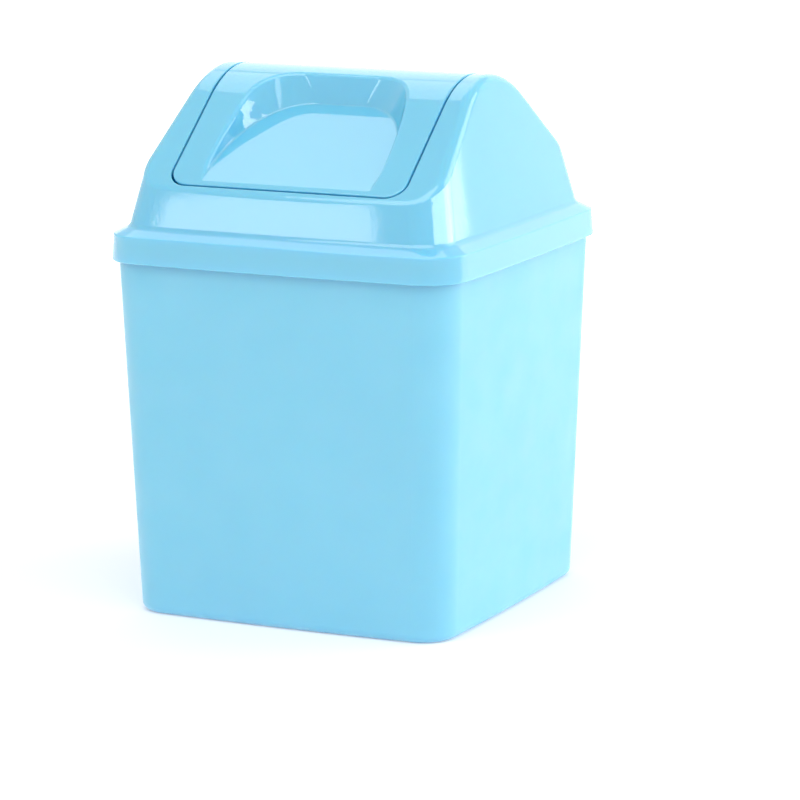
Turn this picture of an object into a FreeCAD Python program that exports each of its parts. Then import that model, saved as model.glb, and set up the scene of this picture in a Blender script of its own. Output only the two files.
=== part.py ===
"""Swing-lid desktop bin: a tapered square bucket, a gabled lid that drops over its rim, and a swing flap.

Millimetres. Origin at the centre of the base, +Z up. The flap's ridge runs along X and the front looks along -Y.
Every size is a cell of the sheet "dims", and the sketches and features read those cells.
"""
import FreeCAD, Part
import Sketcher
import math
import os

Vector = FreeCAD.Vector

# Driving sizes. Half sizes are measured from the bin's vertical centre line.
SIZES = [
    # bucket
    ("bucket_height", 120.0),
    ("rim_half", 59.6),
    ("rim_corner", 11.8),
    ("bucket_taper", 4.3),
    ("base_corner", 11.2),
    ("side_bow", 0.8),
    ("bucket_wall", 1.3),
    ("floor_thickness", 1.8),
    ("base_edge_radius", 2.8),
    ("floor_edge_radius", 1.6),
    ("rim_edge_radius", 0.4),
    ("foot_ring_width", 5.0),
    ("foot_ring_depth", 0.8),
    # lid: skirt over the bucket's rim, sloping ledge, gabled hood
    ("seat_clearance", 0.2),
    ("skirt_clearance", 0.4),
    ("skirt_wall", 1.0),
    ("skirt_depth", 7.0),
    ("skirt_flare", 0.6),
    ("skirt_lip_radius", 0.35),
    ("lid_wall", 1.3),
    ("ledge_rise", 2.4),
    ("ledge_width_x", 4.5),
    ("ledge_width_y", 4.0),
    ("ledge_edge_radius", 0.5),
    ("hood_corner", 11.0),
    ("hood_foot_radius", 2.2),
    ("gable_lean_deg", 11.2),
    ("apron_lean_deg", 14.0),
    ("flap_sill_rise", 14.24),
    ("ridge_radius", 34.0),
    ("roof_angle_deg", 38.8),
    ("roof_edge_radius", 3.4),
    ("roof_reach", 20.0),
    # flap, its seam and its thumb recesses
    ("gable_border", 16.5),
    ("apron_border", 5.4),
    ("flap_corner", 6.0),
    ("flap_wall", 1.3),
    ("flap_flange_depth", 3.5),
    ("flap_edge_radius", 0.4),
    ("seam_gap", 0.7),
    ("seam_edge_radius", 0.35),
    ("recess_side_margin", 10.7),
    ("recess_end_margin", 1.4),
    ("recess_back_draft_deg", 8.4),
    ("recess_back_y", 10.3),
    ("recess_foot_drop", 10.7),
    ("recess_top_straight", 14.9),
    ("recess_low_straight", 1.0),
    ("recess_low_drop", 12.3),
    ("recess_foot_radius", 0.8),
    ("recess_rim_radius", 1.5),
    # flap's pivot: pins on the flap's ears, blind bosses on the hood's gables
    ("pivot_drop", 8.0),
    ("pin_radius", 2.0),
    ("pin_length", 4.4),
    ("pin_clearance", 0.08),
    ("pin_end_clearance", 0.5),
    ("pin_tip_radius", 0.5),
    ("ear_radius", 4.6),
    ("ear_thickness", 1.6),
    ("boss_radius", 4.0),
    # how far a cutting shape runs past what it cuts
    ("overrun", 2.0),
]


def make_sheet(doc):
    sheet = doc.addObject("Spreadsheet::Sheet", "dims")
    for row, (alias, value) in enumerate(SIZES, start=1):
        sheet.set("A%d" % row, alias)
        sheet.set("B%d" % row, str(value))
        sheet.setAlias("B%d" % row, alias)
    doc.recompute()
    return sheet


doc = FreeCAD.newDocument("swing_lid_bin")
sheet = make_sheet(doc)


def size(alias):
    return float(sheet.get(alias))


# Sizes that follow from the driving ones, as expressions for the features to be bound to.
BASE_HALF = "(dims.rim_half - dims.bucket_taper)"
LEDGE_UNDERSIDE = "(dims.bucket_height + dims.seat_clearance)"
SKIRT_BOTTOM = "(%s - dims.skirt_depth)" % LEDGE_UNDERSIDE
BAND_TOP = "(%s + dims.lid_wall)" % LEDGE_UNDERSIDE
HOOD_FOOT = "(%s + dims.ledge_rise)" % BAND_TOP
SKIRT_INNER_HALF = "(dims.rim_half + dims.skirt_clearance)"
SKIRT_INNER_CORNER = "(dims.rim_corner + dims.skirt_clearance)"
BAND_HALF = "(%s + dims.skirt_wall)" % SKIRT_INNER_HALF
BAND_CORNER = "(%s + dims.skirt_wall)" % SKIRT_INNER_CORNER
HOOD_HALF_X = "(%s - dims.ledge_width_x)" % BAND_HALF
HOOD_HALF_Y = "(%s - dims.ledge_width_y)" % BAND_HALF
FLAP_HALF_WIDTH = "(%s - dims.gable_border)" % HOOD_HALF_X
FLAP_HALF_DEPTH = "(%s - dims.apron_border)" % HOOD_HALF_Y
OPENING_HALF = "(%s + dims.seam_gap)" % FLAP_HALF_WIDTH
# the wings' planes rise from the flap's sills and, carried on over the ridge, meet at this level
WING_PEAK_LEVEL = "(%s + dims.flap_sill_rise + %s * tan(dims.roof_angle_deg * 1deg))" % (HOOD_FOOT, FLAP_HALF_DEPTH)
RIDGE_AXIS_LEVEL = "(%s - dims.ridge_radius / cos(dims.roof_angle_deg * 1deg))" % WING_PEAK_LEVEL
RIDGE_LEVEL = "(%s + dims.ridge_radius)" % RIDGE_AXIS_LEVEL
ROOF_RISE = "(%s - %s)" % (RIDGE_LEVEL, HOOD_FOOT)
GABLE_PULL = "(%s * tan(dims.gable_lean_deg * 1deg))" % ROOF_RISE
APRON_PULL = "(%s * tan(dims.apron_lean_deg * 1deg))" % ROOF_RISE
PIVOT_LEVEL = "(%s - dims.pivot_drop)" % RIDGE_LEVEL
RECESS_HALF_WIDTH = "(%s - dims.recess_side_margin)" % FLAP_HALF_WIDTH
RECESS_FOOT_LEVEL = "(%s - dims.recess_foot_drop)" % RIDGE_LEVEL
RECESS_FLUSH_Y = "(%s - dims.recess_end_margin)" % FLAP_HALF_DEPTH
RECESS_RUN = "(%s - dims.recess_back_y)" % RECESS_FLUSH_Y
RECESS_FALL = "(%s - %s + %s * tan(dims.roof_angle_deg * 1deg))" % (RECESS_FOOT_LEVEL, WING_PEAK_LEVEL, RECESS_FLUSH_Y)
FLOOR_SLOPE = "(%s / %s)" % (RECESS_FALL, RECESS_RUN)


def evaluate(expression):
    """The value of an expression over the sheet's cells, as a plain number."""
    result = sheet.evalExpression(expression)
    return float(getattr(result, "Value", result))


def new_body(name):
    body = doc.addObject("PartDesign::Body", name)
    body.Label = name
    return body


def origin_plane(body, role):
    return next(feature for feature in body.Origin.OriginFeatures if feature.Role == role)


def new_sketch(body, name, role, offset=None):
    """An empty sketch on one of the body's origin planes, moved along the plane's normal by an expression."""
    sketch = body.newObject("Sketcher::SketchObject", name)
    sketch.AttachmentSupport = [(origin_plane(body, role), "")]
    sketch.MapMode = "FlatFace"
    if offset is not None:
        sketch.setExpression(".AttachmentOffset.Base.z", offset)
    return sketch


def bind(sketch, constraint, expression):
    """Adds a constraint and ties its value to an expression."""
    index = sketch.addConstraint(constraint)
    sketch.setExpression("Constraints[%d]" % index, expression)


def bowed_square(body, name, level, half_x, half_y, corner, bow="dims.side_bow"):
    """A rounded rectangle on a level plane whose four sides bow outwards by one small sagitta.

    Each corner is an arc, and each side is the flatter arc that is tangent to both of its corners.
    """
    sketch = new_sketch(body, name, "XY_Plane", level)
    half_x, half_y, corner = ("(%s)" % expression for expression in (half_x, half_y, corner))
    hx, hy, r, b = (evaluate(expression) for expression in (half_x, half_y, corner, bow))
    centre_x, centre_y = hx - b - r, hy - b - r
    ends = []
    for turn in range(4):
        along = centre_x if turn % 2 == 0 else centre_y
        out = (hy if turn % 2 == 0 else hx) - r
        big = (along ** 2 + b ** 2) / (2 * b)
        lean = math.asin(along / big)
        ends.append((turn, along, out, big, lean))
    for turn, along, out, big, lean in ends:
        quarter = turn * math.pi / 2
        heading = -math.pi / 2 + quarter
        axis = Vector(math.cos(heading), math.sin(heading), 0)
        centre = axis * (out - big)
        side = Part.Circle(centre, Vector(0, 0, 1), big + r)
        sketch.addGeometry(Part.ArcOfCircle(side, heading - lean, heading + lean))
        corner_x = centre_x if turn in (0, 1) else -centre_x
        corner_y = centre_y if turn in (1, 2) else -centre_y
        following = ends[(turn + 1) % 4][4]
        knee = Part.Circle(Vector(corner_x, corner_y, 0), Vector(0, 0, 1), r)
        sketch.addGeometry(Part.ArcOfCircle(knee, heading + lean, heading + math.pi / 2 - following))
    for turn in range(4):
        side, knee, following = 2 * turn, 2 * turn + 1, (2 * turn + 2) % 8
        sketch.addConstraint(Sketcher.Constraint("Tangent", side, 2, knee, 1))
        sketch.addConstraint(Sketcher.Constraint("Tangent", knee, 2, following, 1))
        bind(sketch, Sketcher.Constraint("Radius", knee, r), corner)
        for axis, positive, reach, expression in (
            ("DistanceX", turn in (0, 1), centre_x, "%s - %s - %s" % (half_x, bow, corner)),
            ("DistanceY", turn in (1, 2), centre_y, "%s - %s - %s" % (half_y, bow, corner)),
        ):
            points = (-1, 1, knee, 3) if positive else (knee, 3, -1, 1)
            bind(sketch, Sketcher.Constraint(axis, *points, reach), expression)
        run = "(%s - %s - %s)" % (half_x if turn % 2 == 0 else half_y, bow, corner)
        radius = "(%s ^ 2 + %s ^ 2) / (2 * %s) + %s" % (run, bow, bow, corner)
        bind(sketch, Sketcher.Constraint("Radius", side, ends[turn][3] + r), radius)
    return sketch


def loft(body, name, lower, upper):
    """A solid between two outlines. It is lofted downwards, which turns its faces outwards."""
    feature = body.newObject("PartDesign::AdditiveLoft", name)
    feature.Profile = upper
    feature.Sections = [lower]
    doc.recompute()
    return feature


def roof_sketch(body, name, drop, reach, close_level, square_ends):
    """The gabled roof line in the YZ plane, closed at a level: two wings tangent to one arc over the ridge.

    The line lies `drop` below the outer roof, and each wing runs `reach` past the flap's edge along the slope.
    With square ends the outline leaves each wing at a right angle, otherwise it leaves it upright.
    """
    sketch = new_sketch(body, name, "YZ_Plane")
    depth, run, close = evaluate(drop), evaluate(reach), evaluate(close_level)
    angle = math.radians(size("roof_angle_deg"))
    radius = size("ridge_radius") - depth
    axis_level = evaluate(RIDGE_AXIS_LEVEL)
    end_x = evaluate(FLAP_HALF_DEPTH) + run * math.cos(angle) - depth * math.sin(angle)
    knee_x, knee_z = radius * math.sin(angle), axis_level + radius * math.cos(angle)
    end_z = knee_z - (end_x - knee_x) * math.tan(angle)
    foot_x = end_x - (end_z - close) * math.tan(angle) if square_ends else end_x
    arc = Part.Circle(Vector(0, axis_level, 0), Vector(0, 0, 1), radius)
    points = [(-foot_x, close), (-end_x, end_z), (-knee_x, knee_z), (knee_x, knee_z), (end_x, end_z), (foot_x, close)]
    left_foot, left_end, left_knee, right_knee, right_end, right_foot = [Vector(x, z, 0) for x, z in points]
    sketch.addGeometry(Part.LineSegment(left_end, left_knee))
    sketch.addGeometry(Part.ArcOfCircle(arc, math.pi / 2 - angle, math.pi / 2 + angle))
    sketch.addGeometry(Part.LineSegment(right_knee, right_end))
    sketch.addGeometry(Part.LineSegment(right_end, right_foot))
    sketch.addGeometry(Part.LineSegment(right_foot, left_foot))
    sketch.addGeometry(Part.LineSegment(left_foot, left_end))
    left, ridge, right, right_side, base, left_side = range(6)
    for first, last in ((right, right_side), (right_side, base), (base, left_side), (left_side, left)):
        sketch.addConstraint(Sketcher.Constraint("Coincident", first, 2, last, 1))
    sketch.addConstraint(Sketcher.Constraint("Tangent", left, 2, ridge, 2))
    sketch.addConstraint(Sketcher.Constraint("Tangent", ridge, 1, right, 1))
    sketch.addConstraint(Sketcher.Constraint("Horizontal", base))
    sketch.addConstraint(Sketcher.Constraint("PointOnObject", ridge, 3, -2))
    sketch.addConstraint(Sketcher.Constraint("Symmetric", left, 1, right, 2, -2))
    for side, wing in ((left_side, left), (right_side, right)):
        kind = ("Perpendicular", side, wing) if square_ends else ("Vertical", side)
        sketch.addConstraint(Sketcher.Constraint(*kind))
    bind(sketch, Sketcher.Constraint("DistanceY", -1, 1, ridge, 3, axis_level), RIDGE_AXIS_LEVEL)
    bind(sketch, Sketcher.Constraint("Radius", ridge, radius), "dims.ridge_radius - (%s)" % drop)
    bind(sketch, Sketcher.Constraint("DistanceY", -1, 1, base, 1, close), close_level)
    reach_out = "%s + (%s) * cos(dims.roof_angle_deg * 1deg)" % (FLAP_HALF_DEPTH, reach)
    reach_out += " - (%s) * sin(dims.roof_angle_deg * 1deg)" % drop
    bind(sketch, Sketcher.Constraint("DistanceX", -1, 1, right, 2, end_x), reach_out)
    bind(sketch, Sketcher.Constraint("Angle", -1, 1, left, 1, angle), "dims.roof_angle_deg * 1deg")
    return sketch


def prism(body, name, sketch, reach, kind="Pad"):
    """A pad or pocket that runs to both sides of its sketch, `reach` each way."""
    feature = body.newObject("PartDesign::" + kind, name)
    feature.Profile = sketch
    feature.Midplane = True
    feature.setExpression("Length", "2 * (%s)" % reach)
    doc.recompute()
    return feature


def edges_where(feature, test):
    """The names of a feature's edges whose two ends and middle all pass a test."""
    names = []
    for number, edge in enumerate(feature.Shape.Edges, start=1):
        first, last = edge.ParameterRange
        points = [edge.valueAt(first), edge.valueAt((first + last) / 2), edge.valueAt(last)]
        if all(test(point) for point in points):
            names.append("Edge%d" % number)
    return names


NEAR = 1e-3


def at_level(level):
    return lambda point: abs(point.z - level) < NEAR


def fillet(body, name, base, edges, radius):
    if not edges:
        raise RuntimeError("no edges found for " + name)
    feature = body.newObject("PartDesign::Fillet", name)
    feature.Base = (base, edges)
    feature.setExpression("Radius", radius)
    doc.recompute()
    return feature


def cut_with(body, name, tools):
    feature = body.newObject("PartDesign::Boolean", name)
    feature.Type = "Cut"
    feature.setObjects(tools)
    doc.recompute()
    return feature


def make_bucket():
    """The bucket: four bowed, drafted walls, a rounded base edge and a shallow foot ring under the floor."""
    body = new_body("bucket")
    base = bowed_square(body, "bucket_base", "0", BASE_HALF, BASE_HALF, "dims.base_corner")
    rim = bowed_square(body, "bucket_rim", "dims.bucket_height", "dims.rim_half", "dims.rim_half", "dims.rim_corner")
    shell = loft(body, "bucket_outside", base, rim)
    rounded = fillet(body, "base_edge", shell, edges_where(shell, at_level(0)), "dims.base_edge_radius")

    hollow = new_body("bucket_hollow")
    inner_base = "(%s - dims.bucket_wall)" % BASE_HALF
    inner_rim = "(dims.rim_half - dims.bucket_wall)"
    floor = bowed_square(hollow, "floor_outline", "dims.floor_thickness", inner_base, inner_base,
                         "dims.base_corner - dims.bucket_wall")
    mouth = bowed_square(hollow, "mouth_outline", "dims.bucket_height", inner_rim, inner_rim,
                         "dims.rim_corner - dims.bucket_wall")
    space = loft(hollow, "hollow_space", floor, mouth)
    fillet(hollow, "floor_edge", space, edges_where(space, at_level(size("floor_thickness"))),
           "dims.floor_edge_radius")
    cut_with(body, "bucket_inside", [hollow])

    ring_half = BASE_HALF + " - dims.foot_ring_width"
    ring = bowed_square(body, "foot_ring", "0", ring_half, ring_half, "dims.base_corner - dims.foot_ring_width")
    recess = body.newObject("PartDesign::Pocket", "underside_recess")
    recess.Profile = ring
    recess.Reversed = True
    recess.setExpression("Length", "dims.foot_ring_depth")
    doc.recompute()
    lip = edges_where(recess, at_level(size("bucket_height")))
    fillet(body, "rim_edge", recess, lip, "dims.rim_edge_radius")
    return body


def side_disc(body, name, offset, radius):
    """A circle round the flap's pivot axis, on a plane across that axis."""
    sketch = new_sketch(body, name, "YZ_Plane", offset)
    level, reach = evaluate(PIVOT_LEVEL), evaluate(radius)
    sketch.addGeometry(Part.Circle(Vector(0, level, 0), Vector(0, 0, 1), reach))
    sketch.addConstraint(Sketcher.Constraint("PointOnObject", 0, 3, -2))
    bind(sketch, Sketcher.Constraint("DistanceY", -1, 1, 0, 3, level), PIVOT_LEVEL)
    bind(sketch, Sketcher.Constraint("Radius", 0, reach), radius)
    return sketch


def run_along_x(body, name, sketch, length, kind):
    """A pad along +X, or a pocket that cuts along +X, from a sketch across the X axis."""
    feature = body.newObject("PartDesign::" + kind, name)
    feature.Profile = sketch
    feature.Reversed = kind == "Pocket"
    feature.setExpression("Length", length)
    doc.recompute()
    return feature


def lid_hollow():
    """The space under the lid: inside the skirt, and inside the hood up to the underside of its roof.

    The two pivot bosses are left standing in it, on the gables' inner faces.
    """
    body = new_body("lid_hollow")
    low = bowed_square(body, "skirt_mouth", SKIRT_BOTTOM, SKIRT_INNER_HALF + " + dims.skirt_flare",
                       SKIRT_INNER_HALF + " + dims.skirt_flare", SKIRT_INNER_CORNER + " + dims.skirt_flare")
    high = bowed_square(body, "skirt_seat", LEDGE_UNDERSIDE, SKIRT_INNER_HALF, SKIRT_INNER_HALF, SKIRT_INNER_CORNER)
    loft(body, "skirt_space", low, high)
    foot_x, foot_y = "(%s - dims.lid_wall)" % HOOD_HALF_X, "(%s - dims.lid_wall)" % HOOD_HALF_Y
    inner_corner = "dims.hood_corner - dims.lid_wall"
    land = bowed_square(body, "seat_land", LEDGE_UNDERSIDE, "dims.rim_half - dims.bucket_wall",
                        "dims.rim_half - dims.bucket_wall", "dims.rim_corner - dims.bucket_wall")
    mouth = bowed_square(body, "hood_mouth", HOOD_FOOT + " - dims.lid_wall", foot_x, foot_y, inner_corner)
    loft(body, "ledge_space", land, mouth)
    top = bowed_square(body, "hood_ceiling", RIDGE_LEVEL, foot_x + " - " + GABLE_PULL, foot_y + " - " + APRON_PULL,
                       inner_corner)
    loft(body, "hood_space", mouth, top)
    above = roof_sketch(body, "roof_underside", "dims.lid_wall", "dims.roof_reach",
                        RIDGE_LEVEL + " + dims.overrun", False)
    prism(body, "trim_to_roof", above, HOOD_HALF_X, "Pocket")
    reach = "dims.gable_border"
    right = side_disc(body, "boss_right_outline", OPENING_HALF, "dims.boss_radius")
    run_along_x(body, "boss_right", right, reach, "Pocket")
    left = side_disc(body, "boss_left_outline", "-%s - (%s)" % (OPENING_HALF, reach), "dims.boss_radius")
    run_along_x(body, "boss_left", left, reach, "Pocket")
    return body


def flap_opening():
    """The opening that the flap fills: the flap's outline grown by the seam gap, through the roof's thickness."""
    body = new_body("flap_opening")
    outline = roof_sketch(body, "opening_profile", "-dims.overrun", "dims.seam_gap", BAND_TOP, True)
    block = prism(body, "opening_block", outline, OPENING_HALF)
    corners = plan_corner_edges(block, evaluate(OPENING_HALF))
    fillet(body, "opening_corners", block, corners, "dims.flap_corner + dims.seam_gap")
    return body


def plan_corner_edges(feature, half_width):
    """The edges square to the wings at the four corners of a roof-shaped block."""
    angle = math.radians(size("roof_angle_deg"))
    names = []
    for number, edge in enumerate(feature.Shape.Edges, start=1):
        ends = [vertex.Point for vertex in edge.Vertexes]
        if len(ends) < 2 or any(abs(abs(point.x) - half_width) > NEAR for point in ends):
            continue
        heading = (ends[1] - ends[0]).normalize()
        if abs(heading.x) < NEAR and abs(abs(heading.y) - math.sin(angle)) < NEAR:
            names.append("Edge%d" % number)
    return names


def roof_level(y):
    """The height of the roof line at a distance y from the ridge."""
    angle = math.radians(size("roof_angle_deg"))
    radius = size("ridge_radius")
    axis_level = evaluate(RIDGE_AXIS_LEVEL)
    if abs(y) < radius * math.sin(angle):
        return axis_level + math.sqrt(radius ** 2 - y ** 2)
    return axis_level + radius / math.cos(angle) - abs(y) * math.tan(angle)


def on_roof(point):
    return abs(point.z - roof_level(point.y)) < NEAR


def make_lid():
    """The lid: a flared skirt, a sloping ledge and a gabled hood with the flap's opening and two pivot bosses."""
    body = new_body("lid_hood")
    low = bowed_square(body, "skirt_lip", SKIRT_BOTTOM, BAND_HALF + " + dims.skirt_flare",
                       BAND_HALF + " + dims.skirt_flare", BAND_CORNER + " + dims.skirt_flare")
    band = bowed_square(body, "band_top", BAND_TOP, BAND_HALF, BAND_HALF, BAND_CORNER)
    foot = bowed_square(body, "hood_foot", HOOD_FOOT, HOOD_HALF_X, HOOD_HALF_Y, "dims.hood_corner")
    top = bowed_square(body, "hood_top", RIDGE_LEVEL, HOOD_HALF_X + " - " + GABLE_PULL,
                       HOOD_HALF_Y + " - " + APRON_PULL, "dims.hood_corner")
    loft(body, "skirt", low, band)
    loft(body, "ledge", band, foot)
    loft(body, "hood", foot, top)
    above = roof_sketch(body, "roof_line", "0", "dims.roof_reach", RIDGE_LEVEL + " + dims.overrun", False)
    roof = prism(body, "roof", above, HOOD_HALF_X + " + dims.overrun", "Pocket")

    inside = evaluate(FLAP_HALF_DEPTH)
    outline = [name for name in edges_where(roof, on_roof)
               if not (abs(middle(roof, name).x) < NEAR and abs(middle(roof, name).y) < inside)]
    soft_roof = fillet(body, "roof_edges", roof, outline, "dims.roof_edge_radius")
    foot_edges = edges_where(soft_roof, at_level(evaluate(HOOD_FOOT)))
    soft_foot = fillet(body, "foot_cove", soft_roof, foot_edges, "dims.hood_foot_radius")
    band_edges = edges_where(soft_foot, at_level(evaluate(BAND_TOP)))
    soft_band = fillet(body, "ledge_edge", soft_foot, band_edges, "dims.ledge_edge_radius")
    lip_edges = edges_where(soft_band, at_level(evaluate(SKIRT_BOTTOM)))
    fillet(body, "skirt_lip_edge", soft_band, lip_edges, "dims.skirt_lip_radius")

    cut_with(body, "lid_inside", [lid_hollow()])
    opened = cut_with(body, "flap_window", [flap_opening()])
    limit_x, limit_y = evaluate(OPENING_HALF) + NEAR, inside + size("seam_gap")
    window = edges_where(opened, lambda point: on_roof(point) and abs(point.x) < limit_x and abs(point.y) < limit_y)
    fillet(body, "window_edge", opened, window, "dims.seam_edge_radius")
    bore_length = "dims.pin_length + dims.pin_end_clearance - dims.seam_gap"
    bore = "dims.pin_radius + dims.pin_clearance"
    right = side_disc(body, "bore_right_outline", OPENING_HALF, bore)
    run_along_x(body, "bore_right", right, bore_length, "Pocket")
    left = side_disc(body, "bore_left_outline", "-%s - (%s)" % (OPENING_HALF, bore_length), bore)
    run_along_x(body, "bore_left", left, bore_length, "Pocket")
    return body


def middle(feature, name):
    edge = feature.Shape.getElement(name)
    first, last = edge.ParameterRange
    return edge.valueAt((first + last) / 2)


def recess_outline(body, name, side, level, grow, straight):
    """A thumb recess in plan at one level: a straight back wall, two round corners and sides that run out forwards.

    The back wall is drafted about the recess's foot, and `grow` moves all the walls outwards.
    """
    sketch = new_sketch(body, name, "XY_Plane", level)
    rise = "(%s - %s)" % (level, RECESS_FOOT_LEVEL)
    half = "(%s + %s)" % (RECESS_HALF_WIDTH, grow)
    back = "(dims.recess_back_y - %s * tan(dims.recess_back_draft_deg * 1deg) - %s)" % (rise, grow)
    front = "(%s + dims.overrun)" % FLAP_HALF_DEPTH
    corner = "(%s - %s)" % (half, straight)
    h, b, f, c, s = (evaluate(expression) for expression in (half, back, front, corner, straight))
    places = [Vector(x, -side * y, 0) for x, y in ((-h, f), (-h, b + c), (-s, b), (s, b), (h, b + c), (h, f))]
    left_front, left_end, left_back, right_back, right_end, right_front = places
    left_hub, right_hub = Vector(-s, -side * (b + c), 0), Vector(s, -side * (b + c), 0)
    sketch.addGeometry(Part.LineSegment(left_front, left_end))
    sketch.addGeometry(quarter_arc(left_hub, c, math.pi / 2 if side > 0 else math.pi))
    sketch.addGeometry(Part.LineSegment(left_back, right_back))
    sketch.addGeometry(quarter_arc(right_hub, c, 0 if side > 0 else math.pi * 3 / 2))
    sketch.addGeometry(Part.LineSegment(right_end, right_front))
    sketch.addGeometry(Part.LineSegment(right_front, left_front))
    left, left_knee, wall, right_knee, right, mouth = range(6)
    first, last = (1, 2) if side > 0 else (2, 1)
    sketch.addConstraint(Sketcher.Constraint("Tangent", left, 2, left_knee, last))
    sketch.addConstraint(Sketcher.Constraint("Tangent", left_knee, first, wall, 1))
    sketch.addConstraint(Sketcher.Constraint("Tangent", wall, 2, right_knee, last))
    sketch.addConstraint(Sketcher.Constraint("Tangent", right_knee, first, right, 1))
    sketch.addConstraint(Sketcher.Constraint("Coincident", right, 2, mouth, 1))
    sketch.addConstraint(Sketcher.Constraint("Coincident", mouth, 2, left, 1))
    sketch.addConstraint(Sketcher.Constraint("Vertical", left))
    sketch.addConstraint(Sketcher.Constraint("Symmetric", mouth, 1, mouth, 2, -2))
    sketch.addConstraint(Sketcher.Constraint("Symmetric", wall, 1, wall, 2, -2))
    bind(sketch, Sketcher.Constraint("Radius", left_knee, c), corner)
    bind(sketch, Sketcher.Constraint("DistanceX", -1, 1, mouth, 1, h), half)
    for line, point, reach, expression in ((wall, 2, b, back), (mouth, 1, f, front)):
        ends = (line, point, -1, 1) if side > 0 else (-1, 1, line, point)
        bind(sketch, Sketcher.Constraint("DistanceY", *ends, reach), expression)
    return sketch


def quarter_arc(centre, radius, start):
    return Part.ArcOfCircle(Part.Circle(centre, Vector(0, 0, 1), radius), start, start + math.pi / 2)


def below_floor(body, name, side, grow):
    """What lies under a thumb recess's sloping floor, from the recess's foot level down and out past the sill."""
    sketch = new_sketch(body, name, "YZ_Plane")
    outer = "(%s + dims.overrun + dims.overrun)" % FLAP_HALF_DEPTH
    level = "(%s - %s * (%s - dims.recess_back_y) - %s * sqrt(1 + %s ^ 2))"
    inner_level = level % (RECESS_FOOT_LEVEL, FLOOR_SLOPE, "0", grow, FLOOR_SLOPE)
    outer_level = level % (RECESS_FOOT_LEVEL, FLOOR_SLOPE, outer, grow, FLOOR_SLOPE)
    low = "(%s - dims.overrun)" % HOOD_FOOT
    o, a, b, l = (evaluate(expression) for expression in (outer, inner_level, outer_level, low))
    places = [Vector(-side * y, z, 0) for y, z in ((0, a), (o, b), (o, l), (0, l))]
    for index in range(4):
        sketch.addGeometry(Part.LineSegment(places[index], places[(index + 1) % 4]))
    for index in range(4):
        sketch.addConstraint(Sketcher.Constraint("Coincident", index, 2, (index + 1) % 4, 1))
    floor, outer_side, base, middle_side = range(4)
    sketch.addConstraint(Sketcher.Constraint("Vertical", outer_side))
    sketch.addConstraint(Sketcher.Constraint("Horizontal", base))
    sketch.addConstraint(Sketcher.Constraint("PointOnObject", middle_side, 1, -2))
    sketch.addConstraint(Sketcher.Constraint("PointOnObject", middle_side, 2, -2))
    bind(sketch, Sketcher.Constraint("DistanceY", -1, 1, floor, 1, a), inner_level)
    bind(sketch, Sketcher.Constraint("DistanceY", -1, 1, floor, 2, b), outer_level)
    bind(sketch, Sketcher.Constraint("DistanceY", -1, 1, base, 1, l), low)
    ends = (floor, 2, -1, 1) if side > 0 else (-1, 1, floor, 2)
    bind(sketch, Sketcher.Constraint("DistanceX", *ends, o), outer)
    return sketch


def recess_block(name, side, grow):
    """A thumb recess as a solid, from its back wall out past the flap's sill, grown by `grow` for the wall round it.

    Its corners open out downwards, so it is lofted between two plans, padded on down, and cut off at its floor.
    """
    body = new_body(name)
    low_level = "(%s - dims.recess_low_drop)" % RECESS_FOOT_LEVEL
    top_level = "(%s + dims.overrun)" % RIDGE_LEVEL
    low = recess_outline(body, name + "_low", side, low_level, grow, "dims.recess_low_straight")
    top = recess_outline(body, name + "_top", side, top_level, grow, "dims.recess_top_straight")
    loft(body, name + "_upper", low, top)
    lower = body.newObject("PartDesign::Pad", name + "_lower")
    lower.Profile = low
    lower.Reversed = True
    lower.setExpression("Length", "%s - %s" % (low_level, HOOD_FOOT))
    doc.recompute()
    under = below_floor(body, name + "_under", side, grow)
    floored = prism(body, name + "_floor", under, HOOD_HALF_X, "Pocket")
    slope, start, end_y = evaluate(FLOOR_SLOPE), size("recess_back_y"), evaluate(FLAP_HALF_DEPTH + " + dims.overrun")
    foot = evaluate("%s - %s * sqrt(1 + %s ^ 2)" % (RECESS_FOOT_LEVEL, grow, FLOOR_SLOPE))

    def on_floor(point):
        return abs(point.z - foot + slope * (abs(point.y) - start)) < NEAR

    edges = [edge for edge in edges_where(floored, on_floor) if abs(middle(floored, edge).y) < end_y - NEAR]
    fillet(body, name + "_foot", floored, edges, "dims.recess_foot_radius + " + grow)
    return body


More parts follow.
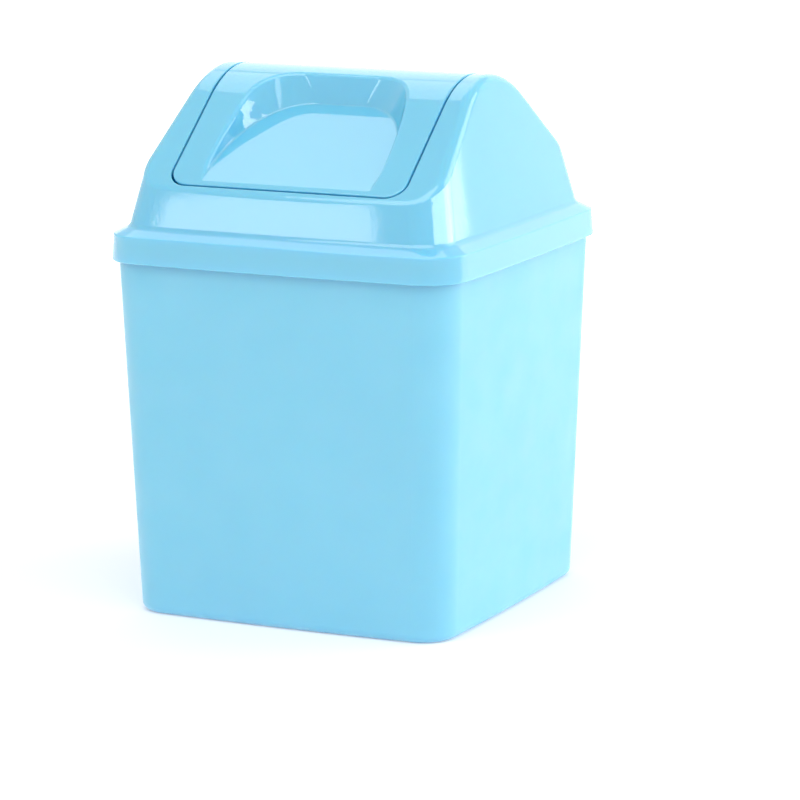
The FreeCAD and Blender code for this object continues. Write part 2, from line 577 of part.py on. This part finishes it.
def make_flap():
    """The flap: a roof-shaped shell with a turned-in edge, two thumb recesses, two ears and two pivot pins."""
    body = new_body("swing_flap")
    outline = roof_sketch(body, "flap_profile", "0", "0", BAND_TOP, True)
    block = prism(body, "flap_block", outline, FLAP_HALF_WIDTH)
    width, depth = evaluate(FLAP_HALF_WIDTH), evaluate(FLAP_HALF_DEPTH)
    rounded = fillet(body, "flap_corners", block, plan_corner_edges(block, width), "dims.flap_corner")
    rim = [name for name in edges_where(rounded, on_roof)
           if abs(middle(rounded, name).x) > NEAR or abs(middle(rounded, name).y) > depth - NEAR]
    fillet(body, "flap_edge", rounded, rim, "dims.flap_edge_radius")

    space = new_body("flap_hollow")
    inner = roof_sketch(space, "shell_underside", "dims.flap_wall", "-dims.flap_wall", SKIRT_BOTTOM, True)
    shell = prism(space, "shell_space", inner, FLAP_HALF_WIDTH + " - dims.flap_wall")
    inner_corners = plan_corner_edges(shell, width - size("flap_wall"))
    fillet(space, "shell_corners", shell, inner_corners, "dims.flap_corner - dims.flap_wall")
    below = roof_sketch(space, "below_flange", "dims.flap_flange_depth", "dims.overrun", SKIRT_BOTTOM, True)
    prism(space, "below_flange_space", below, FLAP_HALF_WIDTH + " + dims.overrun")
    cut_with(space, "recess_walls", [recess_block("front_recess_wall", 1, "dims.flap_wall"),
                                     recess_block("back_recess_wall", -1, "dims.flap_wall")])
    cut_with(body, "flap_inside", [space])
    dished = cut_with(body, "thumb_recesses", [recess_block("front_recess", 1, "0"),
                                               recess_block("back_recess", -1, "0")])
    inside, flush = width - size("flap_corner"), evaluate(RECESS_FLUSH_Y)
    brim = edges_where(dished, lambda point: on_roof(point) and abs(point.x) < inside)
    brim = [name for name in brim if abs(middle(dished, name).y) < flush - NEAR]
    fillet(body, "recess_rims", dished, brim, "dims.recess_rim_radius")
    for hand, start in (("right", FLAP_HALF_WIDTH + " - dims.ear_thickness"), ("left", "-" + FLAP_HALF_WIDTH)):
        ear = ear_sketch(body, hand + "_ear_outline", start)
        run_along_x(body, hand + "_ear", ear, "dims.ear_thickness", "Pad")
    for hand, start in (("right", FLAP_HALF_WIDTH), ("left", "-%s - dims.pin_length" % FLAP_HALF_WIDTH)):
        disc = side_disc(body, hand + "_pin_outline", start, "dims.pin_radius")
        pin = run_along_x(body, hand + "_pin", disc, "dims.pin_length", "Pad")
    tip = evaluate(FLAP_HALF_WIDTH + " + dims.pin_length")
    tips = edges_where(pin, lambda point: abs(abs(point.x) - tip) < NEAR)
    fillet(body, "pin_tips", pin, tips, "dims.pin_tip_radius")
    return body


def ear_sketch(body, name, start):
    """The tab that carries a pivot pin: two upright sides from the shell, closed by a half circle round the axis."""
    sketch = new_sketch(body, name, "YZ_Plane", start)
    radius, level = size("ear_radius"), evaluate(PIVOT_LEVEL)
    root = "%s - dims.flap_wall / 2" % RIDGE_LEVEL
    top = evaluate(root)
    left_top, right_top = Vector(-radius, top, 0), Vector(radius, top, 0)
    left_low, right_low = Vector(-radius, level, 0), Vector(radius, level, 0)
    circle = Part.Circle(Vector(0, level, 0), Vector(0, 0, 1), radius)
    sketch.addGeometry(Part.LineSegment(left_top, left_low))
    sketch.addGeometry(Part.ArcOfCircle(circle, math.pi, 2 * math.pi))
    sketch.addGeometry(Part.LineSegment(right_low, right_top))
    sketch.addGeometry(Part.LineSegment(right_top, left_top))
    left, bottom, right, crown = range(4)
    sketch.addConstraint(Sketcher.Constraint("Tangent", left, 2, bottom, 1))
    sketch.addConstraint(Sketcher.Constraint("Tangent", bottom, 2, right, 1))
    sketch.addConstraint(Sketcher.Constraint("Coincident", right, 2, crown, 1))
    sketch.addConstraint(Sketcher.Constraint("Coincident", crown, 2, left, 1))
    sketch.addConstraint(Sketcher.Constraint("Vertical", left))
    sketch.addConstraint(Sketcher.Constraint("Horizontal", crown))
    sketch.addConstraint(Sketcher.Constraint("Vertical", right))
    sketch.addConstraint(Sketcher.Constraint("PointOnObject", bottom, 3, -2))
    bind(sketch, Sketcher.Constraint("Radius", bottom, radius), "dims.ear_radius")
    bind(sketch, Sketcher.Constraint("DistanceY", -1, 1, bottom, 3, level), PIVOT_LEVEL)
    bind(sketch, Sketcher.Constraint("DistanceY", -1, 1, crown, 1, top), root)
    return sketch


def check_and_write(bodies):
    """Stops on any failed feature or shape, then writes one STEP file for each piece."""
    doc.recompute()
    failed = [item.Name for item in doc.Objects if "Invalid" in item.State or "Error" in item.State]
    if failed:
        raise RuntimeError("failed features: " + ", ".join(failed))
    for body in bodies:
        if body.Shape.isNull() or not body.Shape.isValid() or len(body.Shape.Solids) != 1:
            raise RuntimeError(body.Label + " is not one valid solid")
    os.makedirs("parts", exist_ok=True)
    for body in bodies:
        body.Shape.exportStep("parts/%s.step" % body.Label)
        box = body.Shape.optimalBoundingBox()
        print("%-12s volume %8.0f  x %.2f..%.2f  y %.2f..%.2f  z %.2f..%.2f" % (
            body.Label, body.Shape.Volume, box.XMin, box.XMax, box.YMin, box.YMax, box.ZMin, box.ZMax))


if __name__ == "__main__":
    check_and_write([make_bucket(), make_lid(), make_flap()])
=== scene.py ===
"""A desktop bin in pale blue plastic: a bucket, a lid over its rim, and a flap that swings in its roof."""
import math

import bpy
from mathutils import Matrix, Vector

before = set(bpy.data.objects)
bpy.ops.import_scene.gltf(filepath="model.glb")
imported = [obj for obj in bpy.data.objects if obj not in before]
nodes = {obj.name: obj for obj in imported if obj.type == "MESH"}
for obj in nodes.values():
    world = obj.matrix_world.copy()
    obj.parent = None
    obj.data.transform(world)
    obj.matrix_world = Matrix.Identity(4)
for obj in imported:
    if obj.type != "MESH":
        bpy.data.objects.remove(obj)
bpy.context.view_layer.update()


# Bucket: one thin-walled polypropylene moulding with bowed, drafted sides. The mould's faces are finely
# spark-eroded, so the outside is satin: it blurs what it reflects and shows a faint grain at close range.

BUCKET_BLUE = (0.205, 0.640, 0.980, 1.0)
BUCKET_ROUGHNESS = 0.45
BUCKET_GRAIN = 0.00045
BUCKET_RIPPLE = 0.022
BUCKET_RIPPLE_SHARE = 0.5
BUCKET_RELIEF = 0.000012
NOISE_LOW = 0.3
NOISE_HIGH = 0.7
CLOUD_SCALE = 28.0
CLOUD_DETAIL = 2.0
CLOUD_SPREAD = 0.015
RUB_SCALE = 90.0
RUB_DETAIL = 6.0
RUB_SPREAD = 0.15
GRAIN_DETAIL = 2.0
RIPPLE_DETAIL = 0.0
PLASTIC_IOR = 1.50
PLASTIC_SHINE = 1.0
TRANSLUCENCY = 0.5
LIGHT_CREEP = (0.3, 1.0, 1.6)
CREEP_SCALE = 0.003


def wire(tree, source, target):
    """Joins an output socket to an input socket."""
    tree.links.new(source, target)


def value_input(group, name, default):
    """Gives a node group a plain number to set from outside."""
    socket = group.interface.new_socket(name, in_out="INPUT", socket_type="NodeSocketFloat")
    socket.default_value = default


def noise(tree, vector, scale, detail):
    """A noise texture over the object's own coordinates. Its scale socket can be wired afterwards."""
    node = tree.nodes.new("ShaderNodeTexNoise")
    node.inputs["Detail"].default_value = detail
    node.inputs["Scale"].default_value = scale
    wire(tree, vector, node.inputs["Vector"])
    return node


def spread(tree, source, either_way):
    """Maps a noise value, which lies round one half, onto 1 and that much either way."""
    node = tree.nodes.new("ShaderNodeMapRange")
    node.inputs["From Min"].default_value = NOISE_LOW
    node.inputs["From Max"].default_value = NOISE_HIGH
    node.inputs["To Min"].default_value = 1.0 - either_way
    node.inputs["To Max"].default_value = 1.0 + either_way
    wire(tree, source, node.inputs["Value"])
    return node.outputs["Result"]


def arithmetic(tree, operation, first, second):
    """A math node; each operand is a socket or a plain number."""
    node = tree.nodes.new("ShaderNodeMath")
    node.operation = operation
    for place, operand in enumerate((first, second)):
        if isinstance(operand, (int, float)):
            node.inputs[place].default_value = operand
        else:
            wire(tree, operand, node.inputs[place])
    return node.outputs["Value"]


def moulded_surface_group():
    """What every moulded face shows: grain off the mould, slow ripples, flow clouds and handling rubs."""
    group = bpy.data.node_groups.new("moulded surface", "ShaderNodeTree")
    colour = group.interface.new_socket("Colour", in_out="INPUT", socket_type="NodeSocketColor")
    colour.default_value = BUCKET_BLUE
    value_input(group, "Roughness", BUCKET_ROUGHNESS)
    value_input(group, "Grain", BUCKET_GRAIN)
    value_input(group, "Ripple", BUCKET_RIPPLE)
    value_input(group, "Ripple share", BUCKET_RIPPLE_SHARE)
    group.interface.new_socket("Colour", in_out="OUTPUT", socket_type="NodeSocketColor")
    group.interface.new_socket("Roughness", in_out="OUTPUT", socket_type="NodeSocketFloat")
    group.interface.new_socket("Height", in_out="OUTPUT", socket_type="NodeSocketFloat")
    given = group.nodes.new("NodeGroupInput")
    result = group.nodes.new("NodeGroupOutput")
    place = group.nodes.new("ShaderNodeTexCoord").outputs["Object"]

    # flow clouds: the pigment is a shade deeper or paler where the melt folded
    clouds = noise(group, place, CLOUD_SCALE, CLOUD_DETAIL)
    shade = spread(group, clouds.outputs["Fac"], CLOUD_SPREAD)
    tinted = group.nodes.new("ShaderNodeVectorMath")
    tinted.operation = "SCALE"
    wire(group, given.outputs["Colour"], tinted.inputs["Vector"])
    wire(group, shade, tinted.inputs["Scale"])
    wire(group, tinted.outputs["Vector"], result.inputs["Colour"])

    # rubs: patches where handling has polished or dulled the face a little
    rubs = noise(group, place, RUB_SCALE, RUB_DETAIL)
    rubbed = spread(group, rubs.outputs["Fac"], RUB_SPREAD)
    roughness = arithmetic(group, "MULTIPLY", given.outputs["Roughness"], rubbed)
    wire(group, roughness, result.inputs["Roughness"])

    # relief: fine grain off the mould over slow ripples from uneven cooling
    grain = noise(group, place, 1.0, GRAIN_DETAIL)
    wire(group, arithmetic(group, "DIVIDE", 1.0, given.outputs["Grain"]), grain.inputs["Scale"])
    ripple = noise(group, place, 1.0, RIPPLE_DETAIL)
    wire(group, arithmetic(group, "DIVIDE", 1.0, given.outputs["Ripple"]), ripple.inputs["Scale"])
    slow = arithmetic(group, "MULTIPLY", ripple.outputs["Fac"], given.outputs["Ripple share"])
    wire(group, arithmetic(group, "ADD", grain.outputs["Fac"], slow), result.inputs["Height"])
    return group


moulded_surface = moulded_surface_group()


def moulded_plastic(name, colour, roughness, grain, ripple, ripple_share, relief):
    """A pigmented polypropylene with the mould's own finish. Light creeps a little way through it."""
    material = bpy.data.materials.new(name)
    material.use_nodes = True
    tree = material.node_tree
    shader = tree.nodes["Principled BSDF"]
    surface = tree.nodes.new("ShaderNodeGroup")
    surface.node_tree = moulded_surface
    surface.inputs["Colour"].default_value = colour
    surface.inputs["Roughness"].default_value = roughness
    surface.inputs["Grain"].default_value = grain
    surface.inputs["Ripple"].default_value = ripple
    surface.inputs["Ripple share"].default_value = ripple_share
    bump = tree.nodes.new("ShaderNodeBump")
    bump.inputs["Strength"].default_value = 1.0
    bump.inputs["Distance"].default_value = relief
    wire(tree, surface.outputs["Height"], bump.inputs["Height"])
    wire(tree, surface.outputs["Colour"], shader.inputs["Base Color"])
    wire(tree, surface.outputs["Roughness"], shader.inputs["Roughness"])
    wire(tree, bump.outputs["Normal"], shader.inputs["Normal"])
    shader.inputs["IOR"].default_value = PLASTIC_IOR
    shader.inputs["Specular IOR Level"].default_value = PLASTIC_SHINE
    shader.inputs["Subsurface Weight"].default_value = TRANSLUCENCY
    shader.inputs["Subsurface Radius"].default_value = LIGHT_CREEP
    shader.inputs["Subsurface Scale"].default_value = CREEP_SCALE
    return material


def dress(node, material):
    """Gives a CAD node one finish all over."""
    mesh = node.data
    mesh.materials.clear()
    mesh.materials.append(material)


satin_blue = moulded_plastic("satin blue polypropylene", BUCKET_BLUE, BUCKET_ROUGHNESS, BUCKET_GRAIN,
                             BUCKET_RIPPLE, BUCKET_RIPPLE_SHARE, BUCKET_RELIEF)
dress(nodes["bucket"], satin_blue)


# Lid: a second moulding of the same blue from a polished mould, so it mirrors the lamps. Its skirt drops
# over the bucket's rim, and the hood above the sloping ledge is open over the ridge for the flap.

LID_BLUE = (0.160, 0.590, 0.910, 1.0)
LID_ROUGHNESS = 0.045
LID_GRAIN = 0.0012
LID_RIPPLE = 0.016
LID_RIPPLE_SHARE = 3.0
LID_RELIEF = 0.000006

gloss_blue = moulded_plastic("gloss blue polypropylene", LID_BLUE, LID_ROUGHNESS, LID_GRAIN,
                             LID_RIPPLE, LID_RIPPLE_SHARE, LID_RELIEF)
dress(nodes["lid_hood"], gloss_blue)


# Flap: a third moulding, as glossy as the lid, with a thumb recess pressed into each wing. Two pins
# moulded on its ears turn in the lid's bosses.

dress(nodes["swing_flap"], gloss_blue)


# Studio: a white table that runs out of sight, and a white room that lights the bin softly. The table
# keeps the bin's shadow. Further off, where the lamps don't reach, it is lit up to white.

TABLE_REACH = 6.0
TABLE_WHITE = 0.82
TABLE_GLOW = 0.24
FAR_GLOW = 0.62
GLOW_STARTS = 0.25
GLOW_ENDS = 0.90
TABLE_SHEEN = 1.0

bpy.ops.mesh.primitive_plane_add(size=2 * TABLE_REACH)
table = bpy.context.object
table.name = "table"
paper = bpy.data.materials.new("white table")
paper.use_nodes = True
paper_tree = paper.node_tree
paper_tree.nodes.clear()
matt = paper_tree.nodes.new("ShaderNodeBsdfDiffuse")
matt.inputs["Color"].default_value = (TABLE_WHITE, TABLE_WHITE, TABLE_WHITE, 1.0)
glow = paper_tree.nodes.new("ShaderNodeEmission")
rays = paper_tree.nodes.new("ShaderNodeLightPath")
from_bin = paper_tree.nodes.new("ShaderNodeVectorMath")
from_bin.operation = "LENGTH"
wire(paper_tree, paper_tree.nodes.new("ShaderNodeTexCoord").outputs["Object"], from_bin.inputs["Vector"])
glow_level = paper_tree.nodes.new("ShaderNodeMapRange")
glow_level.inputs["From Min"].default_value = GLOW_STARTS
glow_level.inputs["From Max"].default_value = GLOW_ENDS
glow_level.inputs["To Min"].default_value = TABLE_GLOW
glow_level.inputs["To Max"].default_value = FAR_GLOW
wire(paper_tree, from_bin.outputs["Value"], glow_level.inputs["Value"])
direct = arithmetic(paper_tree, "MULTIPLY", rays.outputs["Is Camera Ray"], glow_level.outputs["Result"])
mirrored = arithmetic(paper_tree, "MULTIPLY", rays.outputs["Is Glossy Ray"], TABLE_SHEEN)
wire(paper_tree, arithmetic(paper_tree, "MAXIMUM", direct, mirrored), glow.inputs["Strength"])
both = paper_tree.nodes.new("ShaderNodeAddShader")
wire(paper_tree, matt.outputs["BSDF"], both.inputs[0])
wire(paper_tree, glow.outputs["Emission"], both.inputs[1])
wire(paper_tree, both.outputs["Shader"], paper_tree.nodes.new("ShaderNodeOutputMaterial").inputs["Surface"])
table.data.materials.append(paper)

ROOM_LEVEL = 0.57

room = bpy.data.worlds.new("white room")
bpy.context.scene.world = room
room.use_nodes = True
room_tree = room.node_tree
walls = room_tree.nodes["Background"]
walls.inputs["Color"].default_value = (1.0, 1.0, 1.0, 1.0)
rays = room_tree.nodes.new("ShaderNodeLightPath")
level = room_tree.nodes.new("ShaderNodeMapRange")
level.inputs["To Min"].default_value = ROOM_LEVEL
white = arithmetic(room_tree, "MAXIMUM", rays.outputs["Is Camera Ray"], rays.outputs["Is Glossy Ray"])
wire(room_tree, white, level.inputs["Value"])
wire(room_tree, level.outputs["Result"], walls.inputs["Strength"])


# Lamps: softboxes round the bin. Each is given by where it stands, how far off it is, its width and height,
# how bright its face is and how it is tilted.

LAMP_AIM = Vector((0.0, 0.0, 0.135))


def heading(azimuth, elevation):
    """The unit vector towards a place round the bin: azimuth 0 is in front of it, 90 at its right hand."""
    turn, rise = math.radians(azimuth), math.radians(elevation)
    return Vector((math.cos(rise) * math.sin(turn), -math.cos(rise) * math.cos(turn), math.sin(rise)))


def softbox(name, azimuth, elevation, distance, width, height, brightness, tilt=0.0):
    """A lit rectangle that faces the lid and that the camera doesn't see."""
    lamp = bpy.data.lights.new(name, "AREA")
    lamp.shape = "RECTANGLE"
    lamp.size, lamp.size_y = width, height
    lamp.energy = brightness * math.pi * width * height
    stand = bpy.data.objects.new(name, lamp)
    towards = heading(azimuth, elevation)
    facing = towards.to_track_quat("Z", "Y").to_matrix().to_4x4()
    tilted = Matrix.Rotation(math.radians(tilt), 4, "Z")
    stand.matrix_world = Matrix.Translation(LAMP_AIM + distance * towards) @ facing @ tilted
    stand.visible_camera = False
    bpy.context.scene.collection.objects.link(stand)


softbox("front left box", -27.1, 13.6, 1.2, 0.263, 0.100, 2.7, 7.0)
softbox("overhead box", -144.6, 53.4, 1.245, 0.87, 0.62, 0.95)
softbox("right strip", 96.0, 15.8, 1.5, 2.02, 0.20, 3.7, -13.5)
softbox("right panel", 124.0, 22.5, 1.6, 0.92, 1.0, 2.0)
softbox("right low card", 128.0, 4.0, 1.6, 1.2, 0.22, 2.1)
softbox("back right panel", 165.5, 14.0, 1.9, 1.35, 1.1, 0.6)
softbox("back left panel", 205.0, 18.0, 1.9, 1.3, 1.3, 0.7)
softbox("front fill", 10.0, 55.0, 1.5, 1.8, 1.2, 1.75)


# Camera: a long lens, fitted to the bin's outline in the photograph. It stands to the right of the bin's
# front, looks slightly down and is turned a touch about its own axis.

CAMERA_AZIMUTH = 25.46
CAMERA_ELEVATION = 11.54
CAMERA_ROLL = -0.35
CAMERA_DISTANCE = 1.300
AIM_HEIGHT = 0.06283
AIM_SHIFT = 0.01344
FOCAL_PIXELS = 4048.4
PICTURE_PIXELS = 800
SENSOR_WIDTH = 36.0

towards = heading(CAMERA_AZIMUTH, CAMERA_ELEVATION)
level_right = Vector((0.0, 0.0, 1.0)).cross(towards).normalized()
level_up = towards.cross(level_right)
roll = math.radians(CAMERA_ROLL)
right = level_right * math.cos(roll) + level_up * math.sin(roll)
up = level_up * math.cos(roll) - level_right * math.sin(roll)
aim = Vector((0.0, 0.0, AIM_HEIGHT)) + AIM_SHIFT * level_right
lens = bpy.data.cameras.new("camera")
lens.sensor_width = SENSOR_WIDTH
lens.lens = FOCAL_PIXELS / PICTURE_PIXELS * SENSOR_WIDTH
camera = bpy.data.objects.new("camera", lens)
turned = Matrix((right, up, towards)).transposed().to_4x4()
camera.matrix_world = Matrix.Translation(aim + CAMERA_DISTANCE * towards) @ turned
bpy.context.scene.collection.objects.link(camera)
bpy.context.scene.camera = camera
bpy.context.scene.view_settings.view_transform = "Standard"
